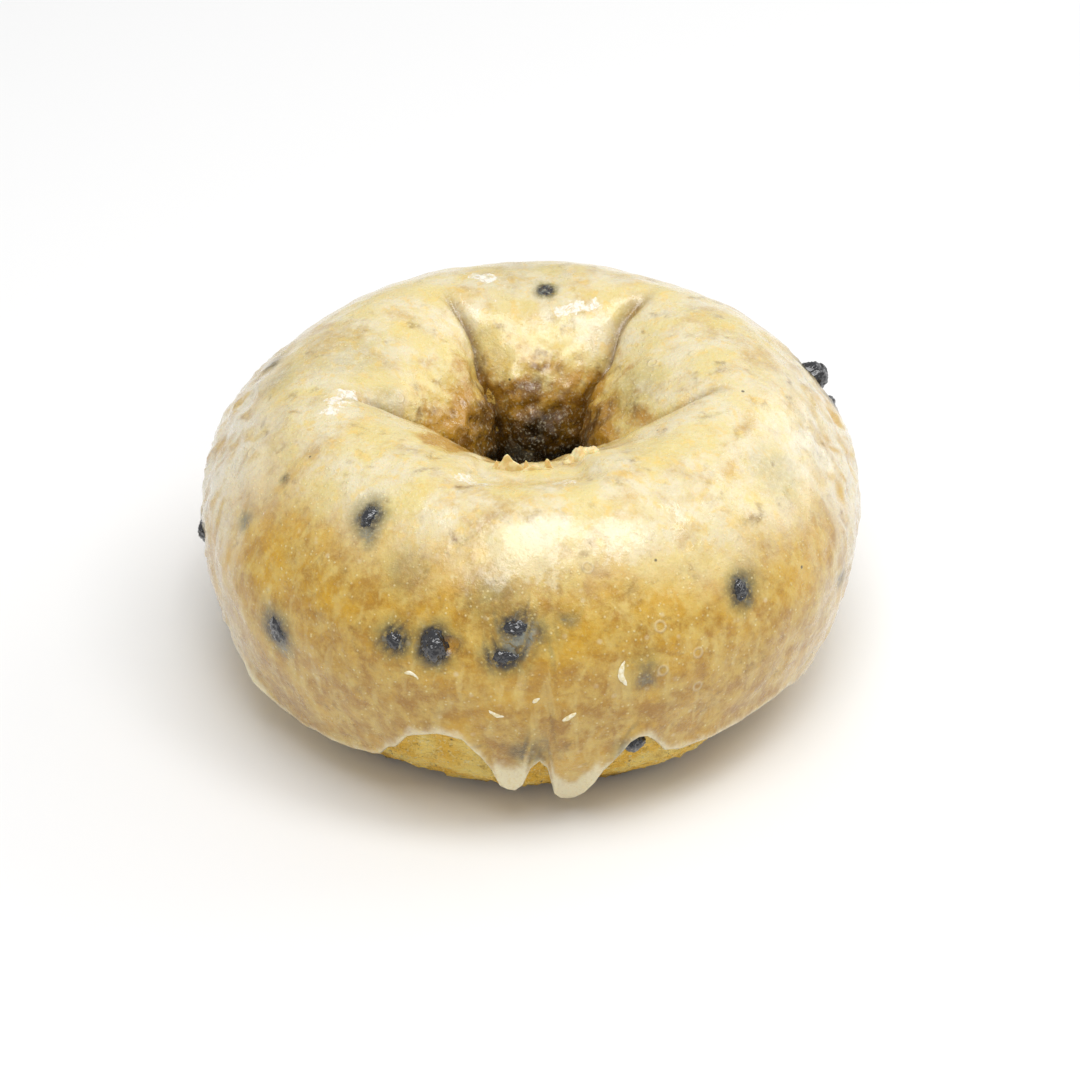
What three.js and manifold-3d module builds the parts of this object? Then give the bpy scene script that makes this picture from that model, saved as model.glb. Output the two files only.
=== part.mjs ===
// A glazed blueberry ring doughnut: a baked ring of dough whose crown folds into the centre hole in
// five pleats, the pieces of dried blueberry baked into its skin, and the sugar glaze that was poured
// over it and set in drips round the lower edge. Millimetres, +Z up, the table at z = 0, the hole's
// axis along Z. An azimuth is measured round that axis from +X towards +Y. A tube angle is measured
// round the dough's section: 0 faces out, 90 is the crest, 180 faces the hole, 270 is the underside.
import * as THREE from "three";
import { mergeVertices } from "three/addons/utils/BufferGeometryUtils.js";
import Module from "manifold-3d";

const wasm = await Module();
wasm.setup();

// The dough's section.
const ringRadius = 24.2; // from the hole's axis to the middle of the section
const ovalness = 0.3; // the ring is this much longer one way, and shorter across
const ovalAzimuth = 50;
const doughHalfWidth = 17.4;
const widestHeight = 23.1; // of the section's widest place, above the table
const crownRise = 17.7; // from the widest place to the crest
const shoulderSlope = 0.26; // how much less full the outer shoulder is than an ellipse
const bellyDrop = 24.3; // from the widest place to where the belly would end but for the table

// The glaze.
const wettingGap = 0.3; // left between the dough and the glaze, so that the two solids stay apart
const filmThickness = 0.55;
const beadThickness = 0.75; // what gathers at the rim, on top of the film
const beadReach = 2.6; // how far the bead spreads up from the rim
const holeRimTube = 206; // where the glaze that ran into the hole ends
const buriedDepth = 1.2; // how deep the glaze's solid starts, before the dough's shape is cut out

// The mesh.
const wideStep = 6.5; // degrees of azimuth between columns on plain stretches
const pleatStep = 3.6;
const dripStep = 2.1;
const dripSector = [244, 300]; // the azimuths of the fine drips at the front
const doughStep = 15; // degrees of tube angle between rows
const fitsToDough = 30; // from this tube angle up, the glaze's rows are the dough's own

// The pleats. Each runs from the crest into the hole, and its azimuth drifts on the way.
const pleats = [
  { crestAzimuth: 118, holeAzimuth: 117, starts: 84, depth: 3.9, spread: 8 },
  { crestAzimuth: 54, holeAzimuth: 51, starts: 76, depth: 3.8, spread: 9 },
  { crestAzimuth: 352, holeAzimuth: 333, starts: 82, depth: 3.4, spread: 10 },
  { crestAzimuth: 191, holeAzimuth: 188, starts: 86, depth: 3.6, spread: 9 },
  { crestAzimuth: 262, holeAzimuth: 264, starts: 112, depth: 2.6, spread: 8 },
];

// The glaze's lower rim: [azimuth, degrees below the widest place]. It rises in scallops over bare
// dough and falls in drips.
const rim = [
  [6, 34], [15, 45], [27, 33], [40, 49], [53, 35], [66, 41], [80, 30], [92, 47], [105, 33],
  [118, 41], [132, 35], [146, 50], [159, 36], [172, 43], [186, 36], [199, 30], [207, 34],
  [219, 43], [233, 41], [241, 38], [245.2, 29], [250, 19], [255, 16], [260, 15.5], [262.2, 23],
  [263.4, 35], [265.5, 42], [267.6, 40], [269.6, 31], [271.8, 28], [273.6, 33], [275, 47],
  [276.6, 53], [278.4, 53], [280, 48], [281.6, 38], [283.4, 30], [286.5, 23], [289, 19.5],
  [291.2, 23], [294, 30], [297, 33], [304, 32], [312, 33], [320, 32], [331, 38], [343, 42], [355, 38],
];

// The pieces of blueberry that show. `size` is across the skin's surface and `tall` is the height there
// as a share of it. `depth` is through the skin, and `proud` is how far the piece stands out of the
// dough. `bare` pieces come through the glaze.
const berries = {
  back_crest: { azimuth: 84.8, tube: 100, size: 3.6, depth: 3.2, proud: -0.1 },
  left_crest: { azimuth: 233.8, tube: 57.7, size: 3.2, tall: 1.1, depth: 3.6, proud: 1.3, bare: true },
  left_shoulder: { azimuth: 206, tube: 28, size: 3.2, depth: 2.8, proud: -0.1 },
  left_side: { azimuth: 188, tube: -3, size: 3.4, depth: 3.6, proud: 1.7, bare: true },
  left_belly: { azimuth: 222.8, tube: 0.3, size: 4.2, tall: 1.15, depth: 4, proud: 1.3, bare: true },
  front_small: { azimuth: 246.8, tube: 18, size: 3.4, tall: 0.95, depth: 3.6, proud: 1.4, bare: true },
  front_open: { azimuth: 253.8, tube: 18, size: 3.9, tall: 1.08, depth: 4.6, proud: 2.2, bare: true },
  front_upper: { azimuth: 267.5, tube: 27, size: 4.4, tall: 0.8, depth: 4, proud: 1.3, bare: true },
  front_lower: { azimuth: 265.5, tube: 16.3, size: 4.2, tall: 0.6, depth: 3.8, proud: 1.4, bare: true },
  front_faint: { azimuth: 276.2, tube: 30.3, size: 2.8, depth: 2.6, proud: -0.1 },
  right_shoulder: { azimuth: 309.5, tube: 23.3, size: 2.9, tall: 1.25, depth: 3.8, proud: 1.3, bare: true },
  right_belly: { azimuth: 288.8, tube: 3.7, size: 3, depth: 2.8, proud: -0.1 },
  drip: { azimuth: 269.8, tube: -21.3, size: 3.8, depth: 3, proud: -0.1 },
  rim: { azimuth: 288, tube: -23.7, size: 3.6, tall: 0.75, depth: 3.6, proud: 1.2, bare: true },
  far_right: { azimuth: 21.5, tube: 28, size: 4.8, depth: 6.4, proud: 3.2, bare: true },
  far_side: { azimuth: 16, tube: 21, size: 3, depth: 3.2, proud: 1.5, bare: true },
  back_shoulder: { azimuth: 64, tube: 38, size: 4.4, depth: 4, proud: 1.5, bare: true },
  back_open: { azimuth: 104, tube: 16, size: 5, depth: 5, proud: 1.9, bare: true },
  back_side: { azimuth: 138, tube: 24, size: 4.6, depth: 4, proud: 1.5, bare: true },
  back_rim: { azimuth: 81, tube: -34, size: 4, depth: 3.8, proud: 1, bare: true },
  back_left: { azimuth: 163, tube: 47, size: 3.8, depth: 3.2, proud: -0.1 },
  right_side: { azimuth: 338, tube: -4, size: 4.4, depth: 3.6, proud: -0.1 },
};
const usualTall = 0.83; // of a berry that gives no share of its own
const pocketClearance = 0.3; // between a berry and the pocket that the dough baked round it
const berryDetail = 1; // subdivisions of the icosahedron that a berry starts from

const radians = THREE.MathUtils.degToRad;
const ramp = THREE.MathUtils.smoothstep; // (value, low, high)

// The signed turn from one azimuth to another, from -180 to 180 degrees.
function turnBetween(from, to) {
  return THREE.MathUtils.euclideanModulo(to - from + 180, 360) - 180;
}

// The dough rose unevenly: a few slow waves round the ring.
function unevenness(azimuth, tube) {
  const a = radians(azimuth);
  const t = radians(tube);
  return (
    0.2 * Math.sin(3 * a + 0.8) * Math.sin(t + 0.4) +
    0.18 * Math.sin(5 * a - 1.1) * Math.cos(2 * t - 0.6) +
    0.1 * Math.sin(9 * a + 2 * t)
  );
}

// How far the pleats draw the skin in at a place.
function pleatDepth(azimuth, tube) {
  const fadesBelowHole = 1 - ramp(tube, 225, 268);
  return pleats.reduce((deepest, pleat) => {
    const drift = ramp(tube, 85, 175);
    const middle = pleat.crestAzimuth + drift * (pleat.holeAzimuth - pleat.crestAzimuth);
    const away = Math.abs(turnBetween(middle, azimuth));
    const opens = ramp(tube, pleat.starts, pleat.starts + 58);
    const valley = Math.exp(-Math.max(away - 0.6, 0) / pleat.spread);
    return Math.max(deepest, pleat.depth * opens * fadesBelowHole * valley);
  }, 0);
}

// A point on the dough's skin, or `proud` millimetres out from it.
function doughPoint(azimuth, tube, proud = 0) {
  const a = radians(azimuth);
  const t = radians(tube);
  const rise = Math.sin(t) > 0 ? crownRise : bellyDrop;
  const normal = new THREE.Vector2(Math.cos(t) / doughHalfWidth, Math.sin(t) / rise).normalize();
  const out = proud + unevenness(azimuth, tube) - pleatDepth(azimuth, tube);
  const middle = ringRadius + ovalness * Math.cos(2 * radians(azimuth - ovalAzimuth));
  const slope = (shoulderSlope * Math.max(Math.sin(t), 0) ** 2 * (1 + Math.cos(t))) / 2;
  const radius = middle + doughHalfWidth * Math.cos(t) * (1 - slope) + out * normal.x;
  const height = widestHeight + rise * Math.sin(t) + out * normal.y;
  return new THREE.Vector3(radius * Math.cos(a), radius * Math.sin(a), Math.max(height, 0));
}

// The columns' azimuths, closer together at the drips and at the pleats.
function columnAzimuths() {
  const found = [];
  let azimuth = 0;
  while (azimuth < 360 - pleatStep / 2) {
    found.push(azimuth);
    const dripping = azimuth >= dripSector[0] && azimuth < dripSector[1];
    const pleated = pleats.some((pleat) => {
      const middle = (pleat.crestAzimuth + pleat.holeAzimuth) / 2;
      return Math.abs(turnBetween(middle, azimuth)) < 11;
    });
    azimuth += dripping ? dripStep : pleated ? pleatStep : wideStep;
  }
  return found;
}
const columns = columnAzimuths();

// A closed skin over a grid that joins up both ways: pointAt(azimuth, row) for each row.
function closedRing(rows, pointAt) {
  const positions = columns.flatMap((azimuth) =>
    rows.flatMap((row) => pointAt(azimuth, row).toArray()),
  );
  const index = [];
  columns.forEach((_, i) => {
    rows.forEach((_, j) => {
      const nextColumn = (i + 1) % columns.length;
      const nextRow = (j + 1) % rows.length;
      const here = i * rows.length + j;
      const beside = nextColumn * rows.length + j;
      const across = nextColumn * rows.length + nextRow;
      const above = i * rows.length + nextRow;
      index.push(here, beside, across, here, across, above);
    });
  });
  return new THREE.BufferGeometry()
    .setAttribute("position", new THREE.Float32BufferAttribute(positions, 3))
    .setIndex(index);
}

// The glaze's rim at an azimuth, as a tube angle: an eased line through the listed places.
function rimTube(azimuth) {
  const after = rim.findIndex(([place]) => place > azimuth);
  const next = after < 0 ? 0 : after;
  const last = (next + rim.length - 1) % rim.length;
  const span = THREE.MathUtils.euclideanModulo(rim[next][0] - rim[last][0], 360);
  const share = THREE.MathUtils.euclideanModulo(azimuth - rim[last][0], 360) / span;
  return -THREE.MathUtils.lerp(rim[last][1], rim[next][1], ramp(share, 0, 1));
}

// The glaze's section as a loop: out over the top from the rim to the hole, and back below the
// dough's skin, where it is cut away. Up the side its rows are shares of the way from the rim to the
// shoulder, so they follow the scallops. From there on they are the dough's own rows.
const sideShares = [0.02, 0.06, 0.13, 0.23, 0.38, 0.58, 0.8];
const topTubes = [30, 45, 60, 75, 90, 105, 120, 135, 150, 165, 180, 195, 201, 204.5];
const outerRows = [
  ...sideShares.map((share) => ({ share, filled: 1 })),
  ...topTubes.map((tube) => ({ tube, filled: 1 })),
];
const glazeLoop = [
  { share: 0, filled: 0.5 },
  ...outerRows,
  { tube: holeRimTube, filled: 0.5 },
  ...outerRows.toReversed().map((row) => ({ ...row, filled: null })),
];

function glazePoint(azimuth, { share, tube, filled }) {
  const low = rimTube(azimuth);
  const place = tube ?? THREE.MathUtils.lerp(low, fitsToDough, share);
  const fromRim = radians(place - low) * doughHalfWidth;
  const bead = beadThickness * Math.exp(-((fromRim / beadReach) ** 2));
  const proud = filled === null ? -buriedDepth : wettingGap + filled * (filmThickness + bead);
  return doughPoint(azimuth, place, proud);
}

// A berry: an icosahedron with its corners pushed in and out, squashed along the skin's normal.
function berryGeometry(berry, grow = 0) {
  const geometry = new THREE.IcosahedronGeometry(1, berryDetail);
  geometry.deleteAttribute("normal");
  geometry.deleteAttribute("uv");
  const shape = mergeVertices(geometry);
  const corners = shape.getAttribute("position");
  for (let i = 0; i < corners.count; i++) {
    const corner = new THREE.Vector3().fromBufferAttribute(corners, i);
    const wrinkle = 0.08 * Math.sin(5 * corner.x + berry.azimuth) * Math.cos(4 * corner.y - berry.tube);
    corner.multiplyScalar(1 + wrinkle);
    corners.setXYZ(i, corner.x, corner.y, corner.z);
  }
  const height = berry.size * (berry.tall ?? usualTall);
  shape.scale(berry.size / 2 + grow, height / 2 + grow, berry.depth / 2 + grow);
  const skin = doughPoint(berry.azimuth, berry.tube);
  const outward = doughPoint(berry.azimuth, berry.tube, 1).sub(skin).normalize();
  const turn = new THREE.Quaternion().setFromUnitVectors(new THREE.Vector3(0, 0, 1), outward);
  shape.applyQuaternion(turn);
  const centre = skin.addScaledVector(outward, berry.proud - berry.depth / 2);
  shape.translate(centre.x, centre.y, centre.z);
  return shape;
}

function solidFrom(geometry) {
  const merged = mergeVertices(geometry, 1e-4);
  return new wasm.Manifold(
    new wasm.Mesh({
      numProp: 3,
      vertProperties: merged.getAttribute("position").array,
      triVerts: new Uint32Array(merged.index.array),
    }),
  );
}

function geometryFrom(solid) {
  const mesh = solid.getMesh();
  return new THREE.BufferGeometry()
    .setAttribute("position", new THREE.BufferAttribute(mesh.vertProperties, 3))
    .setIndex(new THREE.BufferAttribute(mesh.triVerts, 1));
}

function namedMesh(name, geometry, material) {
  const mesh = new THREE.Mesh(geometry, material);
  mesh.name = name;
  return mesh;
}

const doughMaterial = new THREE.MeshStandardMaterial({ color: 0xc9a055, roughness: 0.8 });
const glazeMaterial = new THREE.MeshStandardMaterial({
  color: 0xf1e6bd,
  roughness: 0.2,
  transparent: true,
  opacity: 0.55,
});
const berryMaterial = new THREE.MeshStandardMaterial({ color: 0x2b2a34, roughness: 0.4 });

// Each berry sits in a pocket of the dough, and the bare ones come up through a gap in the glaze.
const doughTubes = Array.from({ length: 360 / doughStep }, (_, row) => doughStep * row);
let dough = solidFrom(closedRing(doughTubes, (azimuth, tube) => doughPoint(azimuth, tube)));
let glaze = solidFrom(closedRing(glazeLoop, glazePoint)).subtract(
  solidFrom(closedRing(doughTubes, (azimuth, tube) => doughPoint(azimuth, tube, wettingGap))),
);
for (const berry of Object.values(berries)) {
  const pocket = solidFrom(berryGeometry(berry, pocketClearance));
  dough = dough.subtract(pocket);
  if (berry.bare) glaze = glaze.subtract(pocket);
}

const doughnut = new THREE.Group();
doughnut.add(namedMesh("dough_ring", geometryFrom(dough), doughMaterial));
doughnut.add(namedMesh("glaze_coat", geometryFrom(glaze), glazeMaterial));
for (const [name, berry] of Object.entries(berries)) {
  doughnut.add(namedMesh(`berry_${name}`, berryGeometry(berry), berryMaterial));
}

// The origin is under the middle of the doughnut's box, on the table.
const box = new THREE.Box3().setFromObject(doughnut);
const middle = box.getCenter(new THREE.Vector3());
doughnut.position.set(-middle.x, -middle.y, -box.min.z);

export default doughnut;
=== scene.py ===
from math import cos, radians, sin

import bpy
import numpy as np
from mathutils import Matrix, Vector


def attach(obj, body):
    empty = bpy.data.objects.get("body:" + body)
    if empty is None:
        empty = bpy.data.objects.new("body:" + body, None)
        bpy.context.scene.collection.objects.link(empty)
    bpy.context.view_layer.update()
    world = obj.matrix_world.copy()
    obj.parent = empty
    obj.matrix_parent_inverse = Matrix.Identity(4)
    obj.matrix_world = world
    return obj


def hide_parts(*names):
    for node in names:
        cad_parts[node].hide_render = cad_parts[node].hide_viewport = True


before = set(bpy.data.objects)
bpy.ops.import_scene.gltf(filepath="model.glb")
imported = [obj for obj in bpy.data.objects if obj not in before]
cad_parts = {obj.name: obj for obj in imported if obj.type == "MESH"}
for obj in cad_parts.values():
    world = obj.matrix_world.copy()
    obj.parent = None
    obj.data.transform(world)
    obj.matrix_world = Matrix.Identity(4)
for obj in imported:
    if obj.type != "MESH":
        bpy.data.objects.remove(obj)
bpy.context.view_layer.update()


# The dough ring. Cake batter fried as one thick ring: its crown folds into the hole in five pleats,
# and its foot set flat under its own weight. Its crust, golden and sandy, shows below the glaze.

# Places on it are an azimuth round the hole, from +X towards +Y, and a tube angle round its section:
# 0 faces out, 90 is the crest, 180 faces the hole and 270 is underneath. Both are in degrees.
hole_axis = np.array([0.00027, -0.00009, 0])
ring_radius = 0.0242
ovalness, oval_azimuth = 0.0003, 50
half_width = 0.0174
widest_height = 0.0231
crown_rise, belly_drop = 0.0177, 0.0243
shoulder_slope = 0.26  # how much less full the outer shoulder is than an ellipse
pleats = [  # azimuth at the crest and in the hole, tube angle where it starts, depth, spread
    (118, 117, 84, 0.0039, 8),
    (54, 51, 76, 0.0038, 9),
    (352, 333, 82, 0.0034, 10),
    (191, 188, 86, 0.0036, 9),
    (262, 264, 112, 0.0026, 8),
]
pleat_opening, fold_opening = 58, 26  # how far from its start a pleat, and its fold, are at full depth
crest_tube, wall_tube = 85, 175  # between these a pleat turns from its crest azimuth to its hole one
pleats_fade, pleats_end = 225, 268  # where they run out, below the hole
fold_depth, fold_spread = 0.0010, 1.8  # the tight fold along the bottom of each pleat
lip_dip, dip_azimuth, dip_tube = 0.0018, 269.5, 106  # where the hole's front lip is low and torn
dip_level, dip_ends, dip_high = 17, 27, 15  # half its level stretch, half of its length, its height


def ease(value, low, high):
    """0 up to low, 1 from high, and a smooth rise between them."""
    share = np.clip((value - low) / (high - low), 0, 1)
    return share * share * (3 - 2 * share)


def turn_between(start, end):
    """The signed turn from one azimuth to another, from -180 to 180 degrees."""
    return (end - start + 180) % 360 - 180


def unevenness(azimuth, tube):
    """How the dough rose unevenly, as slow waves round the ring."""
    a, t = np.radians(azimuth), np.radians(tube)
    return (
        0.0002 * np.sin(3 * a + 0.8) * np.sin(t + 0.4)
        + 0.00018 * np.sin(5 * a - 1.1) * np.cos(2 * t - 0.6)
        + 0.0001 * np.sin(9 * a + 2 * t)
    )


def pleats_at(azimuth, tube):
    """How far the pleats draw the skin in, and how near a place is to the bottom of a fold."""
    above_the_end = 1 - ease(tube, pleats_fade, pleats_end)
    deepest, folded = np.zeros_like(azimuth), np.zeros_like(azimuth)
    for crest_azimuth, hole_azimuth, starts, depth, spread in pleats:
        wavers = 1.2 * np.sin(np.radians(9 * tube) + crest_azimuth)
        turned = ease(tube, crest_tube, wall_tube) * turn_between(crest_azimuth, hole_azimuth)
        away = np.abs(turn_between(crest_azimuth + turned + wavers, azimuth))
        opens = ease(tube, starts, starts + pleat_opening) * above_the_end
        fold = ease(tube, starts, starts + fold_opening) * above_the_end
        fold = fold * np.exp(-((away / fold_spread) ** 2))
        valley = np.exp(-np.maximum(away - 0.6, 0) / spread)
        deepest = np.maximum(deepest, depth * opens * valley + fold_depth * fold)
        folded = np.maximum(folded, fold)
    return deepest, folded


def dough_skin(azimuth, tube, proud=0.0):
    """Points on the dough's skin, or proud metres out from it."""
    a, t = np.radians(azimuth), np.radians(tube)
    rise = np.where(np.sin(t) > 0, crown_rise, belly_drop)
    out_radial, out_up = np.cos(t) / half_width, np.sin(t) / rise
    length = np.hypot(out_radial, out_up)
    out = proud + unevenness(azimuth, tube) - pleats_at(azimuth, tube)[0]
    dipped = ease(np.abs(turn_between(dip_azimuth, azimuth)), dip_ends, dip_level)
    out = out - lip_dip * dipped * np.exp(-(((tube - dip_tube) / dip_high) ** 2))
    middle = ring_radius + ovalness * np.cos(2 * np.radians(azimuth - oval_azimuth))
    slope = shoulder_slope * np.maximum(np.sin(t), 0) ** 2 * (1 + np.cos(t)) / 2
    radius = middle + half_width * np.cos(t) * (1 - slope) + out * out_radial / length
    height = widest_height + rise * np.sin(t) + out * out_up / length
    points = np.stack([radius * np.cos(a), radius * np.sin(a), np.maximum(height, 0)], axis=-1)
    return points + hole_axis


def new_ring(name, columns, rows):
    """A torus, with the azimuth and the angle round its section of each of its vertices."""
    bpy.ops.object.select_all(action="DESELECT")
    bpy.ops.mesh.primitive_torus_add(
        major_segments=columns, minor_segments=rows, major_radius=ring_radius, minor_radius=half_width
    )
    ring = bpy.context.object
    ring.name = ring.data.name = name
    places = np.empty(len(ring.data.vertices) * 3)
    ring.data.vertices.foreach_get("co", places)
    x, y, z = places.reshape(-1, 3).T
    azimuth = np.degrees(np.arctan2(y, x)) % 360
    around = np.degrees(np.arctan2(z, np.hypot(x, y) - ring_radius)) % 360
    around = np.where(around > 359.99, 0, around)  # the first row's rounding can leave it just below 0
    return ring, azimuth, around


def move_vertices(piece, points):
    piece.data.vertices.foreach_set("co", np.ravel(points))
    piece.data.update()


def keep_on_points(piece, name, values):
    """Stores one number per vertex, for the piece's material to read."""
    attribute = piece.data.attributes.new(name, "FLOAT", "POINT")
    attribute.data.foreach_set("value", np.asarray(values, dtype=np.float32))


def roughen(piece, name, size, strength, group=None, mid_level=0.5, **settings):
    """Pushes the skin in and out by cloudy noise whose grain is size metres, and keeps the result."""
    texture = bpy.data.textures.new(name, "CLOUDS")
    texture.noise_scale = size
    for key, value in settings.items():
        setattr(texture, key, value)
    displace = piece.modifiers.new(name, "DISPLACE")
    displace.texture = texture
    displace.texture_coords = "LOCAL"
    displace.strength = strength
    displace.mid_level = mid_level
    if group:
        displace.vertex_group = group
    apply_modifiers(piece)


def apply_modifiers(piece):
    bpy.ops.object.select_all(action="DESELECT")
    piece.select_set(True)
    bpy.context.view_layer.objects.active = piece
    for modifier in list(piece.modifiers):
        bpy.ops.object.modifier_apply(modifier=modifier.name)


def weigh(piece, name, weights):
    """A vertex group with each vertex's own weight, in 16 steps."""
    group = piece.vertex_groups.new(name=name)
    steps = np.round(np.clip(weights, 0, 1) * 16).astype(int)
    for step in range(1, 17):
        group.add(np.flatnonzero(steps == step).tolist(), step / 16, "REPLACE")


# Between these two tube angles the dough is under the glaze, so most of its rows lie outside them.
covered_from, covered_to = -8, 196
covered_rows_share = 0.2
dough, azimuth, around = new_ring("dough", 400, 168)
share = around / 360
covered = covered_from + share / covered_rows_share * (covered_to - covered_from)
bare_share = (share - covered_rows_share) / (1 - covered_rows_share)
bare = covered_to + bare_share * (360 + covered_from - covered_to)
tube = np.where(share < covered_rows_share, covered, bare) % 360
points = dough_skin(azimuth, tube)
on_foot = (points[:, 2] < 0.0004) & (tube > 180)
move_vertices(dough, points)

# The crust is rough underneath and as far up as it shows, and pressed nearly smooth on the foot.
shows = ease(np.abs(turn_between(tube, 276)), 90, 66)
weigh(dough, "crust", shows * np.where(on_foot, 0.25, 1))
keep_on_points(dough, "foot", ease(points[:, 2], 0.0035, 0.0003))
keep_on_points(dough, "in_hole", ease(tube, 150, 200) * ease(tube, 285, 240))
roughen(dough, "crust_lumps", 0.006, 0.0009, "crust", noise_depth=1)
roughen(dough, "crust_grain", 0.0017, 0.0009, "crust", noise_depth=2, noise_basis="VORONOI_F2_F1")
roughen(dough, "crust_sand", 0.0008, 0.0007, "crust", noise_depth=1)
bpy.ops.object.shade_smooth()


def new_material(name):
    material = bpy.data.materials.new(name)
    material.use_nodes = True
    return material, material.node_tree, material.node_tree.nodes["Principled BSDF"]


def add_node(tree, kind, inputs=None, **settings):
    """A node with its settings, and its inputs either set or linked."""
    made = tree.nodes.new(kind)
    for key, value in settings.items():
        setattr(made, key, value)
    for key, value in (inputs or {}).items():
        if isinstance(value, bpy.types.NodeSocket):
            tree.links.new(value, made.inputs[key])
        else:
            made.inputs[key].default_value = value
    return made


def shifted_place(tree, shift):
    """The place on the piece, moved by shift metres each way, so that each pattern is another one."""
    place = add_node(tree, "ShaderNodeTexCoord").outputs["Object"]
    return add_node(tree, "ShaderNodeVectorMath", {0: place, 1: (shift, shift, shift)}).outputs[0]


def grain(tree, size, detail=2.0, roughness=0.5, distortion=0.0, shift=0.0):
    """Noise whose blobs are about size metres, as a number around 0.5."""
    inputs = {
        "Vector": shifted_place(tree, shift),
        "Scale": 1 / size,
        "Detail": detail,
        "Roughness": roughness,
        "Distortion": distortion,
    }
    return add_node(tree, "ShaderNodeTexNoise", inputs).outputs["Fac"]


def stretch(tree, value, low, high, to_low=0.0, to_high=1.0):
    """Maps low..high onto to_low..to_high with soft ends, and holds it there."""
    inputs = {"Value": value, "From Min": low, "From Max": high, "To Min": to_low, "To Max": to_high}
    return add_node(tree, "ShaderNodeMapRange", inputs, interpolation_type="SMOOTHSTEP").outputs[0]


def sums(tree, operation, first, second, clamp=False):
    """A sum of two numbers, such as ADD or MULTIPLY, held between 0 and 1 if it is clamped."""
    made = add_node(tree, "ShaderNodeMath", {0: first, 1: second}, operation=operation, use_clamp=clamp)
    return made.outputs[0]


def blend_colours(tree, share, first, second):
    """A share of the second colour over the first."""
    made = tree.nodes.new("ShaderNodeMix")
    made.data_type = "RGBA"
    for socket, value in ((made.inputs[0], share), (made.inputs[6], first), (made.inputs[7], second)):
        if isinstance(value, bpy.types.NodeSocket):
            tree.links.new(value, socket)
        elif isinstance(value, (int, float)):
            socket.default_value = value
        else:
            socket.default_value = (*value, 1)
    return made.outputs[2]


def stored(tree, name):
    """The number that keep_on_points stored under a name."""
    return add_node(tree, "ShaderNodeAttribute", attribute_name=name).outputs["Fac"]


crust_golden = (0.86, 0.50, 0.045)
crust_pale = (0.93, 0.69, 0.18)
crust_brown = (0.42, 0.20, 0.03)
crust_dark = (0.10, 0.045, 0.012)
sand_pale = (0.90, 0.76, 0.38)
foot_brown = (0.2, 0.11, 0.035)
hole_wall_shade = (0.3, 0.14, 0.03)
material, tree, shader = new_material("dough_crust")
pale_places = stretch(tree, grain(tree, 0.0045, 3), 0.35, 0.7)
colour = blend_colours(tree, pale_places, crust_golden, crust_pale)
brown_places = stretch(tree, grain(tree, 0.0026, 4, 0.6, shift=0.3), 0.54, 0.74, 0, 0.45)
colour = blend_colours(tree, brown_places, colour, crust_brown)
sandy = grain(tree, 0.0005, 3, 0.6)
colour = blend_colours(tree, stretch(tree, sandy, 0.52, 0.72, 0, 0.75), colour, sand_pale)
dark_grains = stretch(tree, grain(tree, 0.0007, 2, shift=0.7), 0.62, 0.78, 0, 0.8)
colour = blend_colours(tree, dark_grains, colour, crust_dark)
# The crust is laid darker towards the foot.
colour = blend_colours(tree, sums(tree, "MULTIPLY", stored(tree, "foot"), 0.75), colour, foot_brown)
# Painted shade: the dough low in the hole and underneath is laid darker brown.
colour = blend_colours(tree, sums(tree, "MULTIPLY", stored(tree, "in_hole"), 0.6), colour, hole_wall_shade)
tree.links.new(colour, shader.inputs["Base Color"])
tree.links.new(stretch(tree, sandy, 0.4, 0.75, 0.75, 0.4), shader.inputs["Roughness"])
relief = sums(tree, "ADD", sandy, sums(tree, "MULTIPLY", grain(tree, 0.0014, 3, shift=0.2), 1.5))
bump = add_node(tree, "ShaderNodeBump", {"Height": relief, "Strength": 1.0, "Distance": 0.0009})
tree.links.new(bump.outputs[0], shader.inputs["Normal"])
dough.data.materials.append(material)
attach(dough, "root")
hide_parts("dough_ring")


# The berries. Bits of dried blueberry, folded into the batter and caught in the crust as it fried.
# Each is wrinkled and nearly black, and shines where the wet sugar coats it. The ones that stand
# highest break through the glaze.
berry_names = sorted(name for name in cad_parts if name.startswith("berry_"))
berry_purple, berry_blue = (0.004, 0.003, 0.005), (0.010, 0.011, 0.016)
milky_film = (0.13, 0.14, 0.15)
material, tree, shader = new_material("dried_blueberry")
colour = blend_colours(tree, stretch(tree, grain(tree, 0.0012, 3), 0.4, 0.65), berry_purple, berry_blue)
film_scraps = stretch(tree, grain(tree, 0.0011, 4, 0.65, 0.6, 0.4), 0.60, 0.72, 0, 0.6)
colour = blend_colours(tree, film_scraps, colour, milky_film)
tree.links.new(colour, shader.inputs["Base Color"])
tree.links.new(stretch(tree, grain(tree, 0.0006), 0.35, 0.65, 0.06, 0.22), shader.inputs["Roughness"])
relief = grain(tree, 0.0005, 3, 0.6)
bump = add_node(tree, "ShaderNodeBump", {"Height": relief, "Strength": 0.6, "Distance": 0.0002})
tree.links.new(bump.outputs[0], shader.inputs["Normal"])
shader.inputs["Coat Weight"].default_value = 1.0
shader.inputs["Coat Roughness"].default_value = 0.03

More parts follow.
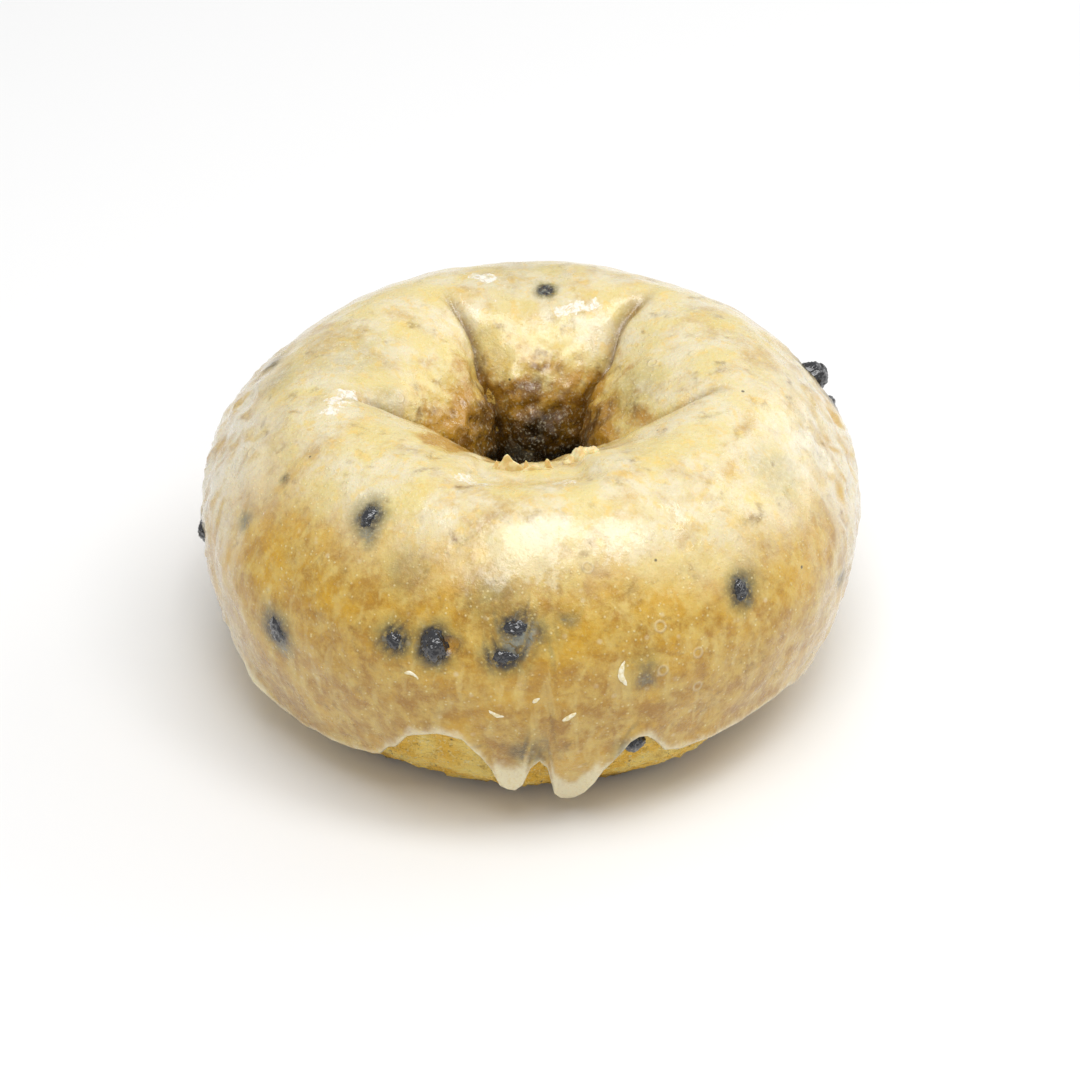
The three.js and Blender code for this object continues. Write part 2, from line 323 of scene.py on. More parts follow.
berry_skins = {}  # one in three of each berry's points, for the stain that it leaves in the glaze
for name in berry_names:
    bpy.ops.object.select_all(action="DESELECT")
    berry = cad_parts[name].copy()
    berry.data = berry.data.copy()
    berry.name = berry.data.name = name.replace("berry", "blueberry")
    berry.parent = None
    for key in list(berry.keys()):
        del berry[key]
    bpy.context.scene.collection.objects.link(berry)
    berry.select_set(True)
    bpy.context.view_layer.objects.active = berry
    bpy.ops.object.mode_set(mode="EDIT")
    bpy.ops.mesh.select_all(action="SELECT")
    bpy.ops.mesh.remove_doubles(threshold=0.00001)
    bpy.ops.object.mode_set(mode="OBJECT")
    rounding = berry.modifiers.new("rounding", "SUBSURF")
    rounding.levels = rounding.render_levels = 3
    apply_modifiers(berry)
    roughen(berry, "lobes", 0.0017, 0.0009, noise_depth=1)
    roughen(berry, "wrinkles", 0.0007, -0.0004, mid_level=0.3, noise_depth=1, noise_type="HARD_NOISE")
    bpy.ops.object.shade_smooth()
    berry_skins[name] = np.array([vertex.co for vertex in berry.data.vertices])[::3]
    berry.data.materials.clear()
    berry.data.materials.append(material)
    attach(berry, "root")
    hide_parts(name)


# The glaze. Sugar and water poured over the warm ring. It is clear where it ran thin, milky where it
# gathered, and it set in scallops and drips above a band of bare dough, with ripples down the sides,
# small bubbles and a few crackled white crusts of sugar on the crest.
film_outside = 0.00085  # the film's outer face, out from the dough's skin
bead_thickness, bead_reach = 0.00060, 0.0022  # what gathers at the rim
lip_rounding = 0.0015
sunk_inside = -0.0002  # its inner face lies in the dough's crust, so no gap shows at the lip
hole_rim_tube = 206  # where it ends in the hole
drips_azimuth = 272.5  # between the two long drips in front
drip_swelling = 0.0011  # how much thicker a drip is, at its bulge
drip_bulge, drip_bulge_reach = 0.0024, 0.0026  # how far above the rim it lies, and how far it reaches
corner_azimuth, corner_swelling = 211, 0.0007  # a thick corner of the rim on the front's left
corner_spread, corner_bulge, corner_bulge_reach = 5, 0.0010, 0.0014
pocket_azimuth, pocket_tube, pocket_depth = 256.4, 19.6, 0.0007  # beside the open berry
rim = [  # azimuth, and how far below the widest place the glaze ends, in degrees
    (6, 34), (15, 45), (27, 33), (40, 49), (53, 35), (66, 41), (80, 30), (92, 47), (105, 33),
    (118, 41), (132, 35), (146, 50), (159, 36), (172, 43), (186, 36), (199, 30), (207, 34),
    (219, 43), (233, 41), (241, 38), (245.2, 29), (250, 19), (255, 16), (258.4, 17), (261, 23),
    (262.8, 31), (263.7, 37), (264.8, 42), (267, 43), (268.7, 40), (270.0, 31), (271.3, 26.5),
    (272.5, 29), (273.5, 38), (274.4, 48), (275.6, 53), (278, 54), (279.6, 49), (281.4, 41),
    (283.4, 33), (285.2, 27), (287.2, 22), (289, 19.5), (291.2, 23), (294, 30), (297, 33),
    (304, 32), (312, 33), (320, 32), (331, 38), (343, 42), (355, 38),
]


def rim_tube(azimuth):
    """The tube angle where the glaze ends, as an eased line through the rim's places."""
    places = np.array([rim[-1][0] - 360, *[place for place, _ in rim], rim[0][0] + 360])
    drops = np.array([rim[-1][1], *[drop for _, drop in rim], rim[0][1]])
    after = np.clip(np.searchsorted(places, azimuth, side="right"), 1, len(places) - 1)
    share = ease((azimuth - places[after - 1]) / (places[after] - places[after - 1]), 0, 1)
    return -(drops[after - 1] + share * (drops[after] - drops[after - 1]))


# The rows run up the outer face from the rim to the hole, closer together at both ends, and back
# down the inner face.
outer_rows_share, end_crowding = 0.88, 0.4
glaze, azimuth, around = new_ring("glaze", 440, 220)
share = around / 360
outside = share < outer_rows_share
sweep = np.where(outside, share / outer_rows_share, (1 - share) / (1 - outer_rows_share))
sweep = np.where(outside, sweep - end_crowding / (2 * np.pi) * np.sin(2 * np.pi * sweep), sweep)
low = rim_tube(azimuth)
tube = low + sweep * (hole_rim_tube - low)
belly_fullness = 1.3  # the section is longer round the belly than its width alone would give
from_rim = np.radians(tube - low) * half_width * belly_fullness
from_hole_rim = np.radians(hole_rim_tube - tube) * half_width
bead = bead_thickness * np.exp(-((from_rim / bead_reach) ** 2))
# How much a place belongs to one of the two long drips, which reach down well past the rest.
dripping = ease(-low, 32, 44) * ease(np.abs(turn_between(azimuth, drips_azimuth)), 14, 9)
swelling = drip_swelling * dripping * np.exp(-(((from_rim - drip_bulge) / drip_bulge_reach) ** 2))
swelling = swelling + corner_swelling * np.exp(
    -((turn_between(corner_azimuth, azimuth) / corner_spread) ** 2)
    - ((from_rim - corner_bulge) / corner_bulge_reach) ** 2
)
lip_share = np.clip(np.minimum(from_rim, from_hole_rim) / lip_rounding, 0, 1)
lip = np.sqrt(1 - (1 - lip_share) ** 2)
film = film_outside + bead + swelling
proud = np.where(outside, sunk_inside + (film - sunk_inside) * lip, sunk_inside)
# The open berry has shrunk away from one side of its pocket.
hollow = np.hypot(turn_between(pocket_azimuth, azimuth) / 1.5, (tube - pocket_tube) / 3.4)
hollow = ease(hollow, 1.2, 0.7)
proud = proud - pocket_depth * hollow
move_vertices(glaze, dough_skin(azimuth, tube % 360, proud))
film_face = dough_skin(azimuth, tube % 360, film_outside)  # its outer face without beads or lumps


def on_glaze(place_azimuth, place_tube):
    """A point on the film's outer face."""
    place = np.array([float(place_azimuth)]), np.array([float(place_tube)])
    return dough_skin(*place, film_outside)[0]


def spread_from(places):
    """The strongest of some soft patches, given as azimuth, tube angle, radius and strength."""
    strongest = np.zeros_like(azimuth)
    for place_azimuth, place_tube, radius, strength in places:
        away = np.linalg.norm(film_face - on_glaze(place_azimuth, place_tube), axis=1)
        strongest = np.maximum(strongest, strength * ease(away, radius * 1.5, radius * 0.2))
    return strongest


# Flat crusts of crackled white sugar on the crest, each of up to three patches.
crusted = spread_from([
    (193, 89, 0.0022, 1), (189.5, 94, 0.0018, 1), (197, 84, 0.0018, 0.9), (250, 97, 0.0020, 1),
    (256, 95, 0.0020, 1), (280, 96, 0.0020, 0.9), (104, 88, 0.0016, 1), (107, 84, 0.0012, 0.9),
    (72, 108, 0.0016, 0.9), (77, 111, 0.0012, 0.9), (66, 104, 0.0012, 0.9),
])
# Painted highlights in front of the crest, where the overhead softboxes reflect: their middle, and half
# of their two extents.
highlight_patches = np.zeros_like(azimuth)
for middle_azimuth, middle_tube, half_wide, half_high in ((269, 57, 7, 14), (290, 57, 5, 9)):
    sideways = np.abs(turn_between(middle_azimuth, azimuth)) / half_wide
    upward = np.abs(tube - middle_tube) / half_high
    highlight_patches = np.maximum(highlight_patches, 1 - np.maximum(sideways, upward) / 2)

# The berries' juice: broad faint stains in the sugar, and dark places where a berry, or a shred of
# its skin, lies close under the film. Milky sugar has run over some of them. One broad patch among
# the stains, on the back of the crest, is painted shade.
stains_and_shade = spread_from([
    # The patch at azimuth 92, tube angle 82 is painted shade on the back of the crest.
    (166, 91, 0.0060, 0.30), (270, -20.5, 0.0030, 0.6), (92, 82, 0.0075, 0.22),
    (174, 58, 0.0034, 0.35), (187, 112, 0.0026, 0.5), (333, 52, 0.0045, 0.4),
    (12, 127, 0.0042, 0.35), (263, 38, 0.0036, 0.6), (272, 26, 0.0026, 0.6),
    (256.5, 22, 0.0020, 0.6), (246, 42, 0.0030, 0.5), (289, 9, 0.0024, 0.5),
    (311, 27, 0.0028, 0.5), (24, 30, 0.0040, 0.6),
])
shadowed = spread_from([
    (270.6, 26, 0.0014, 0.7), (268.0, 30, 0.0012, 0.75), (276.2, 30.3, 0.0008, 0.7),
    (268.5, -21.5, 0.0016, 0.9), (270.8, -22.6, 0.0011, 0.7), (272.5, -18.5, 0.0010, 0.35),
    (235.6, 53, 0.0012, 0.8), (236.6, 49.5, 0.0010, 0.75), (237.2, 47, 0.0008, 0.65),
    (267, 22.5, 0.0018, 0.75), (310, 19.5, 0.0011, 0.7), (208.5, 50.3, 0.0009, 0.8),
    (289.6, 8, 0.0010, 0.5), (287, -14.7, 0.0006, 0.5),
])
filmed = spread_from([
    (269.3, 24.5, 0.0013, 0.95), (267.0, 21.5, 0.0012, 0.85), (266, 18.5, 0.0008, 0.6),
    (224.8, -5, 0.0012, 0.8), (235.4, 50, 0.0009, 0.8), (206.6, 27, 0.0012, 0.7),
    (309.9, 26, 0.0009, 0.7), (288.8, 3.6, 0.0008, 0.6),
])
berry_strength = {  # how dark a berry makes the sugar round it, where it isn't 1
    "berry_back_crest": 1.4,
    "berry_left_shoulder": 0.4,
    "berry_front_faint": 0.4,
    "berry_right_belly": 0.5,
    "berry_drip": 0.0,
    "berry_back_left": 0.6,
    "berry_right_side": 0.5,
}
berry_surroundings = 0.008  # a berry darkens nothing further than this from its middle
burying = 0.0006  # a berry this deep darkens places half as far away as one at the film
shadow_ends, shadow_full = 0.0009, 0.0002
stain_ends, stain_full, stain_share = 0.0024, 0.0004, 0.8
for name, berry_skin in berry_skins.items():
    strength = berry_strength.get(name, 1)
    from_middle = np.linalg.norm(film_face - berry_skin.mean(axis=0), axis=1)
    near = outside & (from_middle < berry_surroundings)
    gaps = film_face[near][:, None] - berry_skin[None]
    away = np.sqrt((gaps**2).sum(axis=2)).min(axis=1)
    buried = away.min()
    away = (away - buried) * (1 + buried / burying)
    shadowed[near] = np.maximum(shadowed[near], strength * ease(away, shadow_ends, shadow_full))
    stained = stain_share * strength * ease(away, stain_ends, stain_full)
    stains_and_shade[near] = np.maximum(stains_and_shade[near], stained)

# Down the two sides the film ran in ripples, and is laid pale in streaks there as a painted reflection
# of the white room; it gathered milky at the rim and in the drips.
right_side, left_side = 3, 180
beside = np.maximum(
    ease(np.abs(turn_between(azimuth, right_side)), 42, 12),
    ease(np.abs(turn_between(azimuth, left_side)), 38, 10),
)
milk_reach = 0.0018 + 0.0034 * dripping
milkiness = 0.9 * np.exp(-((from_rim / milk_reach) ** 2)) + np.clip(swelling / drip_swelling, 0, 1)
keep_on_points(glaze, "stains_and_shade", stains_and_shade)
keep_on_points(glaze, "shadowed", shadowed)
keep_on_points(glaze, "filmed", filmed)
keep_on_points(glaze, "crusted", crusted)
keep_on_points(glaze, "highlight_patches", highlight_patches)
keep_on_points(glaze, "hollow", hollow)
keep_on_points(glaze, "milk", np.clip(milkiness, 0, 1) * (1 - 0.6 * np.clip(shadowed, 0, 1)))
keep_on_points(glaze, "beside", beside * ease(tube, 66, 40))

# How far up the crown and down the hole a place is. The pale crown, partly painted light from above,
# comes 16 degrees lower on the front's right, where it is also a painted highlight from the light on
# the right; the lip on the front's left is golden already, and the hole's back wall stays paler.
lower_crown = 16 * ease(np.abs(turn_between(azimuth, 325)), 45, 12)
golden_lip = 0.55 * ease(np.abs(turn_between(azimuth, 228)), 15, 6) * ease(tube, 100, 112)
pale_back = 0.12 * ease(np.abs(turn_between(azimuth, 85)), 40, 25)
funnel_starts, funnel_height = 104, 52
throat_starts, throat_height = 126, 60
keep_on_points(glaze, "low_side", ease(tube, 22, -8))
keep_on_points(glaze, "crown", ease(tube + lower_crown, 30, 70))
funnel = (tube - funnel_starts) / funnel_height + golden_lip - pale_back
keep_on_points(glaze, "funnel", np.clip(funnel, 0, 1))
keep_on_points(glaze, "throat", np.clip((tube - throat_starts) / throat_height, 0, 1))
keep_on_points(glaze, "folded", pleats_at(azimuth, tube % 360)[1])

# The lumps of each part of the film, and the crackle of its crusts.
weigh(glaze, "outer_face", np.where(outside, lip, 0))
weigh(glaze, "sides", np.where(outside, lip * beside * ease(tube, 66, 44), 0))
weigh(glaze, "crusts", np.where(outside, crusted, 0))
weigh(glaze, "hole_wall", np.where(outside, lip * ease(tube, 112, 150), 0))
roughen(glaze, "slow_lumps", 0.007, 0.0007, "outer_face", noise_depth=1)
roughen(glaze, "small_lumps", 0.0024, 0.00026, "outer_face", noise_depth=1)
roughen(glaze, "runs", 0.0034, -0.0009, "sides", 0.3, noise_depth=1, noise_type="HARD_NOISE")
roughen(glaze, "torn_wall", 0.0024, 0.0011, "hole_wall", noise_depth=2)
roughen(glaze, "crackle", 0.0011, 0.0005, "crusts", noise_depth=2, mid_level=0.35)
bpy.ops.object.shade_smooth()


def stretched_grain(tree, size, height_scale, detail=3.0, shift=0.0):
    """Noise drawn out along the height, for what ran down the sides."""
    place = add_node(tree, "ShaderNodeTexCoord").outputs["Object"]
    inputs = {"Vector": place, "Location": (shift, shift, shift), "Scale": (1, 1, height_scale)}
    mapped = add_node(tree, "ShaderNodeMapping", inputs).outputs[0]
    inputs = {"Vector": mapped, "Scale": 1 / size, "Detail": detail, "Distortion": 0.4}
    return add_node(tree, "ShaderNodeTexNoise", inputs).outputs["Fac"]


def scattered_cells(tree, spacing, sparse, shift):
    """The distance to the nearest of some scattered points, and 0 at the sparse share left out."""
    inputs = {"Vector": shifted_place(tree, shift), "Scale": 1 / spacing}
    cells = add_node(tree, "ShaderNodeTexVoronoi", inputs)
    draw = add_node(tree, "ShaderNodeSeparateColor", {0: cells.outputs["Color"]}).outputs[0]
    return cells.outputs["Distance"], stretch(tree, draw, sparse, sparse + 0.02)


def dots(tree, spacing, low, high, sparse, shift=0.0):
    """Round dots round some of the scattered points: 1 inside low, 0 outside high."""
    distance, used = scattered_cells(tree, spacing, sparse, shift)
    return sums(tree, "MULTIPLY", stretch(tree, distance, low, high, 1, 0), used)


def rings(tree, spacing, radius, width, sparse, shift=0.0):
    """Thin rings round some of the scattered points, as small bubbles leave."""
    distance, used = scattered_cells(tree, spacing, sparse, shift)
    rise = stretch(tree, distance, radius - width, radius)
    fall = stretch(tree, distance, radius, radius + width, 1, 0)
    return sums(tree, "MULTIPLY", sums(tree, "MULTIPLY", rise, fall), used)


golden = (0.60, 0.33, 0.010)
amber = (0.40, 0.195, 0.007)
rosy_amber = (0.37, 0.18, 0.012)
apricot = (0.84, 0.56, 0.13)
ochre = (0.67, 0.47, 0.105)
straw = (0.76, 0.62, 0.23)
speck_and_glint_straw = (0.86, 0.74, 0.38)
cream = (0.79, 0.71, 0.48)
milk = (0.84, 0.77, 0.52)
pale_sugar_and_reflection = (0.84, 0.80, 0.64)
sugar = (0.95, 0.92, 0.84)
highlight_cream = (0.92, 0.84, 0.60)
stain_and_shade_grey = (0.20, 0.165, 0.05)
under_film = (0.012, 0.012, 0.017)
milky_grey = (0.23, 0.24, 0.20)
hole_orange = (0.48, 0.235, 0.011)
hole_brown = (0.16, 0.064, 0.003)
deep_hole_shade = (0.010, 0.004, 0.0005)
material, tree, shader = new_material("sugar_glaze")


def lay(share_laid, under, laid):
    """A share of one colour laid over another, in the glaze's own material."""
    return blend_colours(tree, share_laid, under, laid)


def share_of(fraction, pattern):
    """A pattern made weaker or stronger."""
    return sums(tree, "MULTIPLY", pattern, fraction)


def where(attribute, pattern):
    """A pattern only where a stored number is high."""
    return sums(tree, "MULTIPLY", stored(tree, attribute), pattern)


def edged(attribute, size, threshold=0.5, softness=0.1, reach=1.6, shift=0.0):
    """1 where a stored number is over the threshold, with the border broken up by noise."""
    noise = sums(tree, "SUBTRACT", grain(tree, size, 4, 0.6, 0.3, shift), 0.5)
    ragged = sums(tree, "ADD", stored(tree, attribute), share_of(reach, noise))
    return stretch(tree, ragged, threshold - softness, threshold + softness)


# The dough's own colours through the clear film, golden to brown, with a crown laid paler, partly its
# own colour and partly painted light from above.
blotches = stretch(tree, grain(tree, 0.0060, 4, 0.62), 0.36, 0.62)
colour = lay(blotches, golden, amber)
rosy_places = stretch(tree, grain(tree, 0.010, 3, shift=0.6), 0.30, 0.56)
colour = lay(share_of(0.8, where("low_side", rosy_places)), colour, rosy_amber)
veil_noise = grain(tree, 0.0026, 5, 0.68, 0.3, 0.8)
veil = stretch(tree, veil_noise, 0.38, 0.66, 0, 0.72)
colour = lay(veil, colour, ochre)
crown_edge = stretch(tree, grain(tree, 0.0055, 5, 0.65, 0.3, 0.1), 0.30, 0.58, 0.3, 1)
# Painted light: the crown is laid cream, partly its own pale glaze and partly the light from above.
colour = lay(share_of(0.94, where("crown", crown_edge)), colour, cream)
patches = grain(tree, 0.0024, 4, 0.6, 0.3, 1.4)
patch_colour = lay(stored(tree, "crown"), golden, straw)
colour = lay(stretch(tree, patches, 0.52, 0.70, 0, 0.5), colour, patch_colour)
soft_yellow = stretch(tree, grain(tree, 0.0075, 3, 0.55, 0.3, 4.1), 0.44, 0.64, 0, 0.75)
colour = lay(where("crown", soft_yellow), colour, straw)
browned = stretch(tree, grain(tree, 0.0018, 4, 0.6, 0.4, 2.6), 0.57, 0.72, 0, 0.38)
colour = lay(browned, colour, lay(stored(tree, "crown"), amber, apricot))
runs = stretch(tree, stretched_grain(tree, 0.0015, 0.28, 2, 6.1), 0.52, 0.68, 0, 0.3)
colour = lay(runs, colour, straw)
warm_runs = stretch(tree, stretched_grain(tree, 0.0016, 0.30, 3, 8.3), 0.54, 0.68, 0, 0.45)
colour = lay(where("crown", warm_runs), colour, apricot)
# Painted highlight: cream patches laid where the overhead softboxes reflect on the front of the crest.
colour = lay(share_of(0.34, edged("highlight_patches", 0.0016, 0.52, 0.08, 1.2, 0.7)), colour, highlight_cream)
# Painted reflection: pale streaks down the two sides, where they face the white room.
side_reflection_streaks = stretch(tree, stretched_grain(tree, 0.0030, 0.22, 1.5), 0.34, 0.60, 0.15, 0.8)
colour = lay(where("beside", side_reflection_streaks), colour, pale_sugar_and_reflection)

# The hole's wall, browner further in and darkened deep down with painted shade, with milky spots, and
# folds darkened with painted shade.
colour = lay(share_of(0.85, edged("funnel", 0.0030, 0.40, 0.25, 1.5, 3.3)), colour, straw)
colour = lay(share_of(0.85, edged("funnel", 0.0034, 0.56, 0.15, 1.7, 0.9)), colour, ochre)
colour = lay(share_of(0.92, edged("funnel", 0.0038, 0.57, 0.2, 1.6, 0.5)), colour, hole_orange)
# Painted shade: deep in the hole the wall is laid brown and then near black.
colour = lay(share_of(0.94, edged("throat", 0.0030, 0.36, 0.25, 1.7, 2.2)), colour, hole_brown)
colour = lay(share_of(0.95, edged("throat", 0.0050, 0.57, 0.22, 0.8, 1.2)), colour, deep_hole_shade)
milky_spots = stretch(tree, grain(tree, 0.0028, 2, 0.5, 0.2, 3.1), 0.58, 0.74, 0, 0.35)
above_throat = sums(tree, "SUBTRACT", 1.0, stored(tree, "throat"))
colour = lay(sums(tree, "MULTIPLY", where("funnel", milky_spots), above_throat), colour, milk)
# Painted shade along the bottom of each fold.
colour = lay(share_of(0.8, stored(tree, "folded")), colour, hole_brown)

# The berries' stains, with one patch of painted shade on the back of the crest, and the sugar that
# gathered milky at the rim.
stain_and_shade_mottle = stretch(tree, grain(tree, 0.0012, 4, 0.6, shift=0.9), 0.30, 0.6, 0.45, 0.95)
colour = lay(where("stains_and_shade", stain_and_shade_mottle), colour, stain_and_shade_grey)
shadow_mottle = stretch(tree, grain(tree, 0.0010, 4, 0.6, shift=1.1), 0.35, 0.62, 0.7, 1)
colour = lay(where("shadowed", shadow_mottle), colour, under_film)
film_patches = stretch(tree, grain(tree, 0.0011, 3, 0.6, 0.8, 1.9), 0.55, 0.66, 0, 0.5)
colour = lay(where("shadowed", film_patches), colour, milky_grey)
film_streaks = stretch(tree, grain(tree, 0.0009, 3, 0.6, 1.2, 2.9), 0.36, 0.56)
colour = lay(where("filmed", film_streaks), colour, milky_grey)
hollow_mottle = stretch(tree, grain(tree, 0.0008, 3, shift=0.5), 0.4, 0.6)
hollow_colour = lay(hollow_mottle, hole_brown, hole_orange)
colour = lay(share_of(0.9, stored(tree, "hollow")), colour, hollow_colour)
colour = lay(share_of(0.85, edged("milk", 0.0018, 0.5, 0.4, 0.9, 0.45)), colour, milk)

# Sandy grain, pale specks that are partly sugar and partly painted glints, bubbles, dark pits and the
# white crusts.
fine = grain(tree, 0.00045, 4, 0.65, shift=0.35)
pale_speck = lay(stored(tree, "crown"), ochre, cream)
colour = lay(stretch(tree, fine, 0.52, 0.70, 0, 0.4), colour, pale_speck)
dark_grain = lay(stored(tree, "crown"), amber, golden)
colour = lay(stretch(tree, fine, 0.47, 0.28, 0, 0.22), colour, dark_grain)
specks_and_glints = dots(tree, 0.00075, 0.10, 0.28, 0.45)
large_specks = dots(tree, 0.0019, 0.06, 0.26, 0.60, 0.4)
bubbles = rings(tree, 0.0046, 0.14, 0.06, 0.86, 0.2)
dark_pits = dots(tree, 0.0060, 0.020, 0.050, 0.70, 1.7)
clear_of_berries = sums(tree, "SUBTRACT", 1.0, stored(tree, "shadowed"), True)
speck_places = sums(tree, "MULTIPLY", above_throat, clear_of_berries)
speck_places = sums(tree, "MULTIPLY", speck_places, stretch(tree, veil_noise, 0.36, 0.6, 0.25, 1))
# The small pale specks are partly sugar grains and partly painted glints.
colour = lay(share_of(0.6, sums(tree, "MULTIPLY", specks_and_glints, speck_places)), colour, speck_and_glint_straw)
colour = lay(share_of(0.3, sums(tree, "MULTIPLY", large_specks, speck_places)), colour, pale_sugar_and_reflection)
colour = lay(share_of(0.3, bubbles), colour, cream)
colour = lay(share_of(0.8, dark_pits), colour, under_film)
lace = stretch(tree, grain(tree, 0.0006, 3, 0.6, 0.6, 5.3), 0.38, 0.56, 0.15, 0.85)
crusts = edged("crusted", 0.0014, 0.62, 0.14, 2.4, 0.2)
colour = lay(sums(tree, "MULTIPLY", crusts, lace), colour, sugar)

# The film's gloss: a clear coat over sugar that is rougher and lets a little light in.
tree.links.new(colour, shader.inputs["Base Color"])
sheen_patches = stretch(tree, grain(tree, 0.0022, 3, shift=0.15), 0.35, 0.7, 0.27, 0.45)
tree.links.new(sheen_patches, shader.inputs["Roughness"])
relief = sums(tree, "ADD", grain(tree, 0.0012, 3, 0.55, shift=0.25), share_of(0.3, specks_and_glints))
relief = sums(tree, "ADD", relief, share_of(0.5, bubbles))
relief = sums(tree, "ADD", relief, share_of(0.6, fine))
bump = add_node(tree, "ShaderNodeBump", {"Height": relief, "Strength": 0.5, "Distance": 0.0005})
tree.links.new(bump.outputs[0], shader.inputs["Normal"])
shader.inputs["Subsurface Weight"].default_value = 0.12
shader.inputs["Subsurface Radius"].default_value = (1.0, 0.6, 0.25)
shader.inputs["Subsurface Scale"].default_value = 0.0012
film_relief = sums(tree, "ADD", grain(tree, 0.0009, 3, 0.6, shift=0.75), share_of(0.4, fine))
bump = add_node(tree, "ShaderNodeBump", {"Height": film_relief, "Strength": 0.2, "Distance": 0.0003})
tree.links.new(bump.outputs[0], shader.inputs["Coat Normal"])
shader.inputs["Specular IOR Level"].default_value = 0.35
shader.inputs["Coat Weight"].default_value = 0.75
shader.inputs["Coat Roughness"].default_value = 0.03
glaze.data.materials.append(material)
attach(glaze, "root")
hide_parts("glaze_coat")


# The sugar curls. Where the sugar ran thick it wrinkled and set as small white curls and slivers that
# lie on the glaze.
glaze_points = np.array([vertex.co for vertex in glaze.data.vertices])


def lumps_at(place):
    """How far the glaze's beads and lumps moved its outer face near a place on the film."""
    nearest = np.argmin(np.linalg.norm(film_face - place, axis=1) + np.where(outside, 0, 1))
    return glaze_points[nearest] - film_face[nearest]


def lay_on_glaze(piece, place_azimuth, place_tube, turn, bend):
    """Wraps a piece modelled flat round the origin onto the glaze at a place, turned and bent there."""
    along, across, up = np.array([vertex.co for vertex in piece.data.vertices]).T
    across = across + bend * along**2
    turned = np.radians(turn)
    sideways = along * np.cos(turned) - across * np.sin(turned)
    upward = along * np.sin(turned) + across * np.cos(turned)
    middle = on_glaze(place_azimuth, place_tube)
    from_axis = np.hypot(*(middle - hole_axis)[:2])
    azimuths = place_azimuth + np.degrees(sideways / from_axis)
    tubes = place_tube + np.degrees(upward / half_width)
    move_vertices(piece, dough_skin(azimuths, tubes % 360, film_outside + up) + lumps_at(middle))


def lay_lump(name, place_azimuth, place_tube, length, width, thickness, turn, bend, made_of, lumps):
    """A lumpy bit of sugar, long or round, that lies half sunk in the glaze."""
    bpy.ops.object.select_all(action="DESELECT")
    bpy.ops.mesh.primitive_uv_sphere_add(segments=24, ring_count=16, radius=0.5)
    lump = bpy.context.object
    lump.name = lump.data.name = name
    bpy.ops.object.mode_set(mode="EDIT")
    bpy.ops.transform.resize(value=(length, width, thickness))
    bpy.ops.object.mode_set(mode="OBJECT")
    lay_on_glaze(lump, place_azimuth, place_tube, turn, bend)
    roughen(lump, name, 0.0006, lumps, noise_depth=1)
    bpy.ops.object.shade_smooth()
    lump.data.materials.append(made_of)
    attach(lump, "root")


curl_straw, curl_white = (0.78, 0.66, 0.36), (0.90, 0.84, 0.64)
material, tree, shader = new_material("white_sugar")
mottled = stretch(tree, grain(tree, 0.0005, 3), 0.4, 0.6)
colour = blend_colours(tree, mottled, curl_straw, curl_white)
tree.links.new(colour, shader.inputs["Base Color"])
shader.inputs["Roughness"].default_value = 0.35
shader.inputs["Coat Weight"].default_value = 0.4
curl_lumps = 0.00025
slivers = {  # azimuth, tube angle, length, width, thickness, turn, bend
    "curl_right": (284.8, 7.3, 0.0032, 0.0008, 0.0003, 94, -230),
    "sliver_low_right": (276.2, -7.0, 0.0019, 0.00045, 0.0005, 24, 30),
    "sliver_low_left": (264.3, -5.6, 0.0020, 0.0004, 0.0003, -20, 220),
    "curl_left": (250.6, 7.2, 0.0019, 0.0004, 0.0002, -12, -320),
    "sliver_low_middle": (270.8, -0.6, 0.0010, 0.0004, 0.0002, 25, 0),
}
for name, measures in slivers.items():
    lay_lump(name, *measures, material, curl_lumps)


# The torn sugar skin. At the hole's front lip the sugar's skin tore as it set, and left crumbs that
# stick to the lip and thin ragged flakes that stand up from it.
skin_amber, skin_straw = (0.72, 0.52, 0.20), (0.84, 0.72, 0.40)
material, tree, shader = new_material("torn_sugar_skin")
mottled = stretch(tree, grain(tree, 0.0009, 3), 0.4, 0.62)
colour = blend_colours(tree, mottled, skin_amber, skin_straw)
tree.links.new(colour, shader.inputs["Base Color"])
shader.inputs["Roughness"].default_value = 0.5
shader.inputs["Subsurface Weight"].default_value = 0.2
shader.inputs["Subsurface Scale"].default_value = 0.001
crumb_lumps = 0.0006
crumbs = {  # azimuth, tube angle, length, width, thickness, turn, bend
    "crumb_right": (293.5, 121, 0.0030, 0.0022, 0.0018, 70, 0),
    "crumb_far_right": (298.5, 119, 0.0026, 0.0018, 0.0012, 50, 0),
    "crumb_middle": (289.0, 121, 0.0022, 0.0015, 0.0010, 10, 0),
}
for name, measures in crumbs.items():
    lay_lump(name, *measures, material, crumb_lumps)

